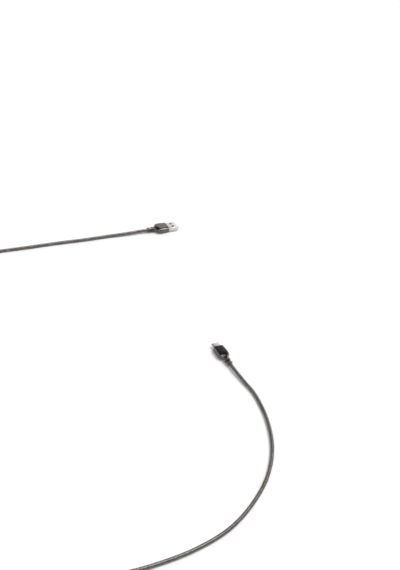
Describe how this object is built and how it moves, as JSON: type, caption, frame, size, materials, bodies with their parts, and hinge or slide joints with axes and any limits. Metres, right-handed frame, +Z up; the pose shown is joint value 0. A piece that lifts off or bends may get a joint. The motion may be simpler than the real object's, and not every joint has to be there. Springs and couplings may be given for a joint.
{
  "type": "metal-hose charging cable",
  "caption": "Charging and data cable in a flexible wound steel hose, with a type A plug at one end and a type C plug at the other, each in a dark polished housing with a collared neck.",
  "frame": {"origin": "bottom centre of the type A plug, on the surface that the cable lies on", "axes": "+X the way the type A plug goes into its port, +Y the way the type C plug goes into its port as the cable lies here, +Z up"},
  "size_m": [0.3534, 0.4372, 0.0064],
  "materials": {
    "dark_zinc": "polished, black-nickel plated die-cast zinc",
    "plug_steel": "nickel-plated sheet steel",
    "hose_steel": "wound stainless steel",
    "black_moulding": "moulded, fine satin",
    "gold": "gold-plated",
    "lead_jacket": "extruded jacket",
    "wire_red": "extruded insulation",
    "wire_white": "extruded insulation",
    "wire_green": "extruded insulation",
    "wire_black": "extruded insulation",
    "circuit_card": "solder-masked card",
    "chip_black": "ceramic chip"
  },
  "bodies": {
    "root": {"usb_a_housing": "dark_zinc", "usb_a_shell": "plug_steel", "usb_a_insulator": "black_moulding", "usb_a_contact_vbus": "gold", "usb_a_contact_dminus": "gold", "usb_a_contact_dplus": "gold", "usb_a_contact_gnd": "gold", "usb_a_rear_can": "plug_steel", "usb_a_inner_mould": "black_moulding", "usb_a_ferrule": "plug_steel", "usb_a_hose_end": "hose_steel", "usb_a_lead_end": "lead_jacket", "usb_a_wire_red": "wire_red", "usb_a_wire_white": "wire_white", "usb_a_wire_green": "wire_green", "usb_a_wire_black": "wire_black", "usb_c_housing": "dark_zinc", "usb_c_shell": "plug_steel", "usb_c_insulator": "black_moulding", "usb_c_contacts_upper": "gold", "usb_c_contacts_lower": "gold", "usb_c_latch_plate": "plug_steel", "usb_c_ground_springs": "plug_steel", "usb_c_circuit_card": "circuit_card", "usb_c_chip_resistor": "chip_black", "usb_c_rear_can": "plug_steel", "usb_c_inner_mould": "black_moulding", "usb_c_ferrule": "plug_steel", "usb_c_hose_end": "hose_steel", "usb_c_lead_end": "lead_jacket", "usb_c_wire_red": "wire_red", "usb_c_wire_white": "wire_white", "usb_c_wire_green": "wire_green", "usb_c_wire_black": "wire_black", "cable_hose": "hose_steel"}
  },
  "joints": []
}
